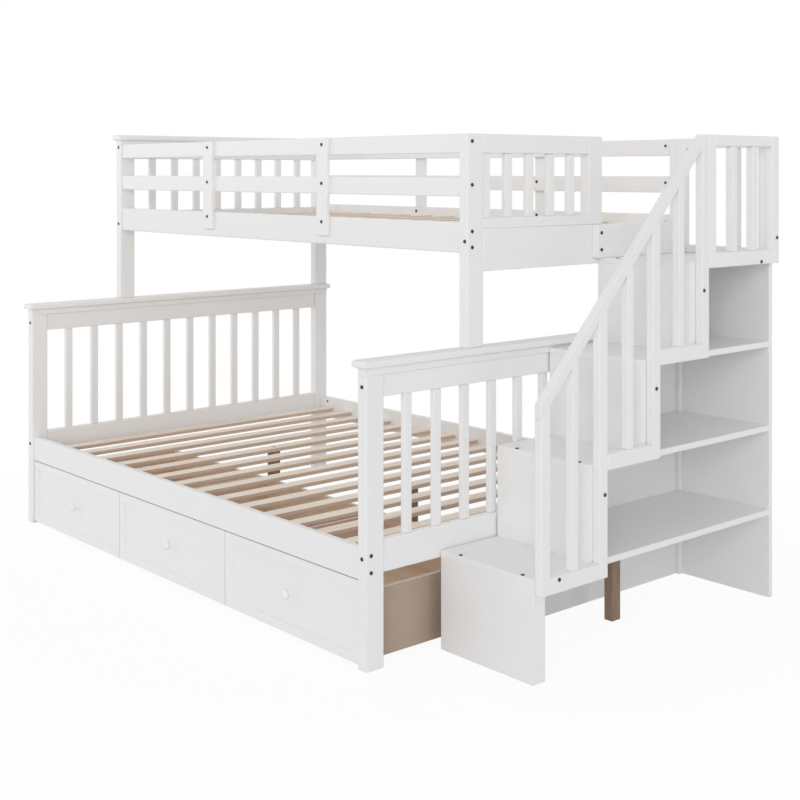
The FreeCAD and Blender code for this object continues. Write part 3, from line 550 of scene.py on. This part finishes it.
# %% Caps
for node in sorted(n for n in frame["nodes"] if n.endswith("_cap")):
    boards = [copied_board(node, first, last, 0) for first, last, points in solids_of(node)]
    bm = gathered(boards, node)
    print(node, "faces:", len(bm.faces))
    piece_from(bm, f"moulded_{node}", white_paint, "white_paint", body_of[node], node, smooth=True)

# %% [markdown]
# A knob is turned on a lathe, so it is a profile spun round its axis: a small foot on the
# panel, a waist for the fingers and a mushroom head with a rounded face. Spinning leaves the
# faces in a chance order, so they are sorted by place, and each run gives the same mesh.

# %% Knobs
KNOB_FOOT = ((0.0, 0.0), (0.0094, 0.0), (0.0094, 0.0012))
KNOB_WAIST = ((0.0074, 0.0026), (0.0064, 0.0056), (0.0062, 0.0092), (0.0078, 0.0118))
KNOB_HEAD = ((0.0122, 0.0142), (0.0146, 0.0172), (0.0149, 0.0196), (0.0136, 0.0232),
             (0.0102, 0.0261), (0.0054, 0.0276), (0.0, 0.028))
KNOB_PROFILE = KNOB_FOOT + KNOB_WAIST + KNOB_HEAD
TURNS = 40


def sort_faces(bm):
    """Put the faces into a fixed order, by the place of their middles."""
    middles = {face: [round(c, POINT_DIGITS) for c in face.calc_center_median()] for face in bm.faces}
    places = {face: place for place, face in enumerate(sorted(bm.faces, key=middles.get))}
    bm.faces.sort(key=places.get)


def turned(profile, centre, axis, steps):
    """Spin a profile of radius and height round an axis through a centre."""
    bm = bmesh.new()
    verts = [bm.verts.new((radius, 0, height)) for radius, height in profile]
    edges = [bm.edges.new(pair) for pair in zip(verts, verts[1:])]
    bmesh.ops.spin(bm, geom=verts + edges, cent=(0, 0, 0), axis=(0, 0, 1), angle=math.tau,
                   steps=steps, use_merge=True, use_duplicate=False)
    bmesh.ops.remove_doubles(bm, verts=bm.verts, dist=WELD)
    bmesh.ops.recalc_face_normals(bm, faces=bm.faces)
    turn = Vector((0, 0, 1)).rotation_difference(Vector(axis)).to_matrix().to_4x4()
    bmesh.ops.transform(bm, matrix=Matrix.Translation(centre) @ turn, verts=bm.verts)
    sort_faces(bm)
    return bm


drawers = [name for name in frame["bodies"] if name.startswith("drawer_") and "wheels" not in name]
for drawer in sorted(drawers):
    low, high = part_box(f"{drawer}_knob")
    foot = Vector(((low.x + high.x) / 2, high.y, (low.z + high.z) / 2))
    knob = gathered([turned(KNOB_PROFILE, foot, (0, -1, 0), TURNS)], f"{drawer} knob")
    piece_from(knob, f"turned_{drawer}_knob", white_paint, "white_paint", drawer, f"{drawer}_knob",
               smooth=True)
print("knobs:", len(drawers))

# %% [markdown]
# The rollers under the drawers are moulded wheels with rounded shoulders, a sunk web and a
# stub axle that turns in the drawer's side. Each is spun from one profile, the axle included,
# and the profile is measured from the frame's own wheel.

# %% Rollers
AXLE = 0.004
BOSS, BOSS_FOOT = AXLE * 1.3, AXLE * 1.6
SHOULDER = 0.0025
SHOULDER_CUT = SHOULDER * 0.3
WEB_SHARE = 0.72
WEB_SUNK = 0.0025
WEB_SLOPE = 0.001
WHEEL_WIDE = 0.012


def roller_profile(radius, wide, stub):
    """From the middle of the outer face, over the tread, to the end of the axle."""
    web, rim, cut = radius * WEB_SHARE, radius - SHOULDER, radius - SHOULDER_CUT
    face, boss_top, web_floor = -wide, -wide + WEB_SUNK / 2, -wide + WEB_SUNK
    outer_face = ((0.0, boss_top), (BOSS, boss_top), (BOSS_FOOT, web_floor), (web, web_floor),
                  (web + WEB_SLOPE, face))
    tread = ((rim, face), (cut, face + SHOULDER_CUT), (radius, face + SHOULDER),
             (radius, -SHOULDER), (cut, -SHOULDER_CUT), (rim, 0.0))
    axle = ((AXLE, 0.0), (AXLE, stub), (0.0, stub))
    return outer_face + tread + axle


wheel_nodes = sorted(n for n in frame["nodes"] if n.endswith("_wheels"))
for node in wheel_nodes:
    low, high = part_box(node)
    middle = (low.x + high.x) / 2
    wheels = []
    for first, last, points in solids_of(node):
        start, end = corners_of(points)
        outward = 1 if (start.x + end.x) / 2 > middle else -1
        radius, stub = (end.z - start.z) / 2, end.x - start.x - WHEEL_WIDE
        hub_x = (end.x if outward > 0 else start.x) - outward * stub
        hub = Vector((hub_x, (start.y + end.y) / 2, (start.z + end.z) / 2))
        wheels.append(turned(roller_profile(radius, WHEEL_WIDE, stub), hub, (outward, 0, 0), TURNS))
    piece_from(gathered(wheels, node), f"moulded_{node}", roller_plastic, "roller_plastic",
               body_of[node], node, smooth=True)
print("pairs of rollers:", len(wheel_nodes))

# %% [markdown]
# Black bolts hold the bed together. One bolt is drawn along Z: a hexagon for the key and a
# circle for the rim are bridged into the face of the head, the hexagon is pushed in, the rim
# is pulled down and a shank is added. The frame's solids say where each goes and how long it
# is: the thick end of a solid is its head. Barrel nuts are plain short rods with sunk ends. Each
# stands a hair proud of the inner face of its rail, so that its end shows there as a dark dot.

# %% Bolts and barrel nuts
HEAD_THICK = 0.002
KEY_RADIUS = 0.0027
KEY_DEEP = 0.0013
RIM_EASE = 0.0006
WIDEST_NUT = 0.0105
NUT_PROUD = 0.0006
NUT_LIP = 0.35
RIM_SIDES, KEY_SIDES = 24, 6
SIDE_CORNERS = 4


def bolt_shape(head_radius, shank_radius, long):
    """A bolt that stands on its shank, with the underside of its head at the origin."""
    bm = bmesh.new()
    top = Matrix.Translation((0, 0, HEAD_THICK))
    key = bmesh.ops.create_circle(bm, segments=KEY_SIDES, radius=KEY_RADIUS, matrix=top)["verts"]
    rim = bmesh.ops.create_circle(bm, segments=RIM_SIDES, radius=head_radius - RIM_EASE,
                                  matrix=top)["verts"]
    key_edges = [e for e in bm.edges if e.verts[0] in key]
    rim_edges = [e for e in bm.edges if e.verts[0] in rim]
    bmesh.ops.bridge_loops(bm, edges=key_edges + rim_edges)
    sunk = bmesh.ops.extrude_edge_only(bm, edges=key_edges)["geom"]
    bmesh.ops.translate(bm, vec=(0, 0, -KEY_DEEP), verts=verts_in(sunk))
    bmesh.ops.contextual_create(bm, geom=edges_in(sunk))
    edge_loop = rim_edges
    for radius, level in ((head_radius, HEAD_THICK - RIM_EASE), (head_radius, 0.0), (shank_radius, 0.0),
                          (shank_radius, -long)):
        ring = bmesh.ops.extrude_edge_only(bm, edges=edge_loop)["geom"]
        for vert in verts_in(ring):
            spoke = Vector((vert.co.x, vert.co.y, 0)).normalized()
            vert.co = spoke * radius + Vector((0, 0, level))
        edge_loop = edges_in(ring)
    bmesh.ops.contextual_create(bm, geom=edge_loop)
    bmesh.ops.recalc_face_normals(bm, faces=bm.faces)
    return bm


def nut_shape(radius, long):
    """A barrel nut along Z, with a sunk face at each end."""
    bm = bmesh.new()
    bmesh.ops.create_cone(bm, cap_ends=True, segments=RIM_SIDES, radius1=radius, radius2=radius,
                          depth=long)
    ends = [face for face in bm.faces if len(face.verts) > SIDE_CORNERS]
    bmesh.ops.inset_individual(bm, faces=ends, thickness=radius * NUT_LIP, depth=-NUT_PROUD / 2)
    return bm


fasteners, bolts, nuts = [], 0, 0
for first, last, points in solids_of("bolts"):
    low, high = corners_of(points)
    size = high - low
    axis = max(range(3), key=lambda side: size[side])
    across = [side for side in range(3) if side != axis]
    wide = max(size[side] for side in across)
    middle = (low + high) / 2
    if wide < WIDEST_NUT:
        shape = nut_shape(wide / 2, size[axis])
        way = Vector([float(side == axis) for side in range(3)])
        spot = middle - way * math.copysign(NUT_PROUD, middle[axis])
        nuts += 1
    else:
        side = across[0]
        reach = [max(abs(p[side] - middle[side]) for p in points if abs(p[axis] - end[axis]) < WELD)
                 for end in (low, high)]
        sign = 1 if reach[1] > reach[0] else -1
        way = Vector([float(side == axis) * sign for side in range(3)])
        spot = middle + way * (size[axis] / 2 - HEAD_THICK)
        shape = bolt_shape(wide / 2, min(reach), size[axis] - HEAD_THICK)
        bolts += 1
    turn = Vector((0, 0, 1)).rotation_difference(way).to_matrix().to_4x4()
    bmesh.ops.transform(shape, matrix=Matrix.Translation(spot) @ turn, verts=shape.verts)
    sort_faces(shape)
    fasteners.append(shape)
piece_from(gathered(fasteners, "bolts"), "black_bolts_and_nuts", black_steel, "black_bolts", "frame",
           "bolts", smooth=True)
print("bolts:", bolts, "barrel nuts:", nuts)

# %% [markdown]
# The stage is a plain pale floor. To the camera, and mirrored in a shiny surface, it is nearly
# all plain white, as the ground in the photograph is. Near the bed it has a share of real
# shading, so that the bed keeps its shadow. To every other ray it is a matt white floor that
# throws light back up.

# %% Floor
FLOOR_REACH = 40.0
FLOOR_SIDES = 64
SHADOW_SHARE = 0.065
NEAR_FLOOR, FAR_FLOOR = 1.2, 2.4
floor_mesh = bpy.data.meshes.new("studio_floor")
bm = bmesh.new()
bmesh.ops.create_circle(bm, cap_ends=True, segments=FLOOR_SIDES, radius=FLOOR_REACH)
bm.to_mesh(floor_mesh)
bm.free()
floor = bpy.data.objects.new("studio_floor", floor_mesh)
bpy.context.scene.collection.objects.link(floor)

floor_finish = bpy.data.materials.new("pale_floor")
floor_finish.use_nodes = True
tree = floor_finish.node_tree
tree.nodes.clear()


def seen_ray(tree):
    """1 where a ray comes from the camera, or from a shiny or clear surface."""
    light_path = tree.nodes.new("ShaderNodeLightPath").outputs
    shiny = sum_of(tree, "MAXIMUM", light_path["Is Glossy Ray"], light_path["Is Transmission Ray"])
    return sum_of(tree, "MAXIMUM", light_path["Is Camera Ray"], shiny)


matt = add(tree, "ShaderNodeBsdfDiffuse", Color=(0.9, 0.9, 0.9, 1)).outputs[0]
plain_white = add(tree, "ShaderNodeEmission", Color=(1, 1, 1, 1), Strength=1.0).outputs[0]
spot = add(tree, "ShaderNodeTexCoord").outputs["Object"]
away = add(tree, "ShaderNodeVectorMath", {"operation": "LENGTH"}, i0=spot).outputs["Value"]
far_off = band(tree, away, NEAR_FLOOR, FAR_FLOOR)
whiteness = sum_of(tree, "MULTIPLY_ADD", far_off, SHADOW_SHARE, 1 - SHADOW_SHARE)
shaded = add(tree, "ShaderNodeMixShader", i0=whiteness, i1=matt, i2=plain_white).outputs[0]
chosen = add(tree, "ShaderNodeMixShader", i0=seen_ray(tree), i1=matt, i2=shaded).outputs[0]
add(tree, "ShaderNodeOutputMaterial", Surface=chosen)
floor_mesh.materials.append(floor_finish)
print("floor radius:", FLOOR_REACH, "m")

# %% [markdown]
# The photograph is lit softly from all round, so that the fronts and the open side of the
# stairs are almost equally bright and only the shelves behind fall off gently. Posts and
# uprights throw soft shadows to their right, so one small lamp stands to the left. A pale world
# gives the even part. A large lamp far behind the camera lights the fronts, and one beside the
# stairs reaches into the shelves.

# %% Light
DOME = 0.64
world = bpy.data.worlds.new("studio_dome")
bpy.context.scene.world = world
world.use_nodes = True
tree = world.node_tree
tree.nodes.clear()
even_light = add(tree, "ShaderNodeBackground", Color=(1, 1, 1, 1), Strength=DOME).outputs[0]
white_behind = add(tree, "ShaderNodeBackground", Color=(1, 1, 1, 1), Strength=1.0).outputs[0]
sky = add(tree, "ShaderNodeMixShader", i0=seen_ray(tree), i1=even_light, i2=white_behind).outputs[0]
add(tree, "ShaderNodeOutputWorld", Surface=sky)

AIM = Vector((0.0, 0.0, 0.6))


def soft_lamp(name, spot, size, power):
    """A square lamp that looks at the bed."""
    lamp = bpy.data.lights.new(name, "AREA")
    lamp.size = size
    lamp.energy = power
    holder = bpy.data.objects.new(name, lamp)
    holder.location = spot
    holder.rotation_euler = (AIM - Vector(spot)).to_track_quat("-Z", "Y").to_euler()
    bpy.context.scene.collection.objects.link(holder)


soft_lamp("key_from_left", spot=(-6.5, -4.2, 2.8), size=1.8, power=60.0)
soft_lamp("lamp_behind_camera", spot=(13.0, -16.0, 7.0), size=8.0, power=950.0)
soft_lamp("lamp_beside_stairs", spot=(20.0, -4.0, 2.5), size=6.0, power=220.0)
print("dome:", DOME)

# %% [markdown]
# The camera stands to the right of the stairs' corner at chest height. Its place and lens were
# solved from the corners of the bed in the photograph. Upright edges stay parallel there, so
# the camera is level, and the view is moved down the film by the lens shift.

# %% Camera
FILM = 36.0
FOCAL_LENGTH = 58.773
SHIFT_RIGHT, SHIFT_DOWN = 0.0458, 0.2852
CAMERA_SPOT = (3.4755, -2.9875, 1.3423)
LEVEL, CAMERA_TURN = math.radians(90), math.radians(49.634)
lens = bpy.data.cameras.new("catalogue_camera")
lens.sensor_width = FILM
lens.lens = FOCAL_LENGTH
lens.shift_x = SHIFT_RIGHT
lens.shift_y = -SHIFT_DOWN
camera = bpy.data.objects.new("catalogue_camera", lens)
camera.location = CAMERA_SPOT
camera.rotation_euler = (LEVEL, 0, CAMERA_TURN)
bpy.context.scene.collection.objects.link(camera)
bpy.context.scene.camera = camera
bpy.context.scene.view_settings.view_transform = "Standard"
print("lens:", round(lens.lens, 2), "mm")
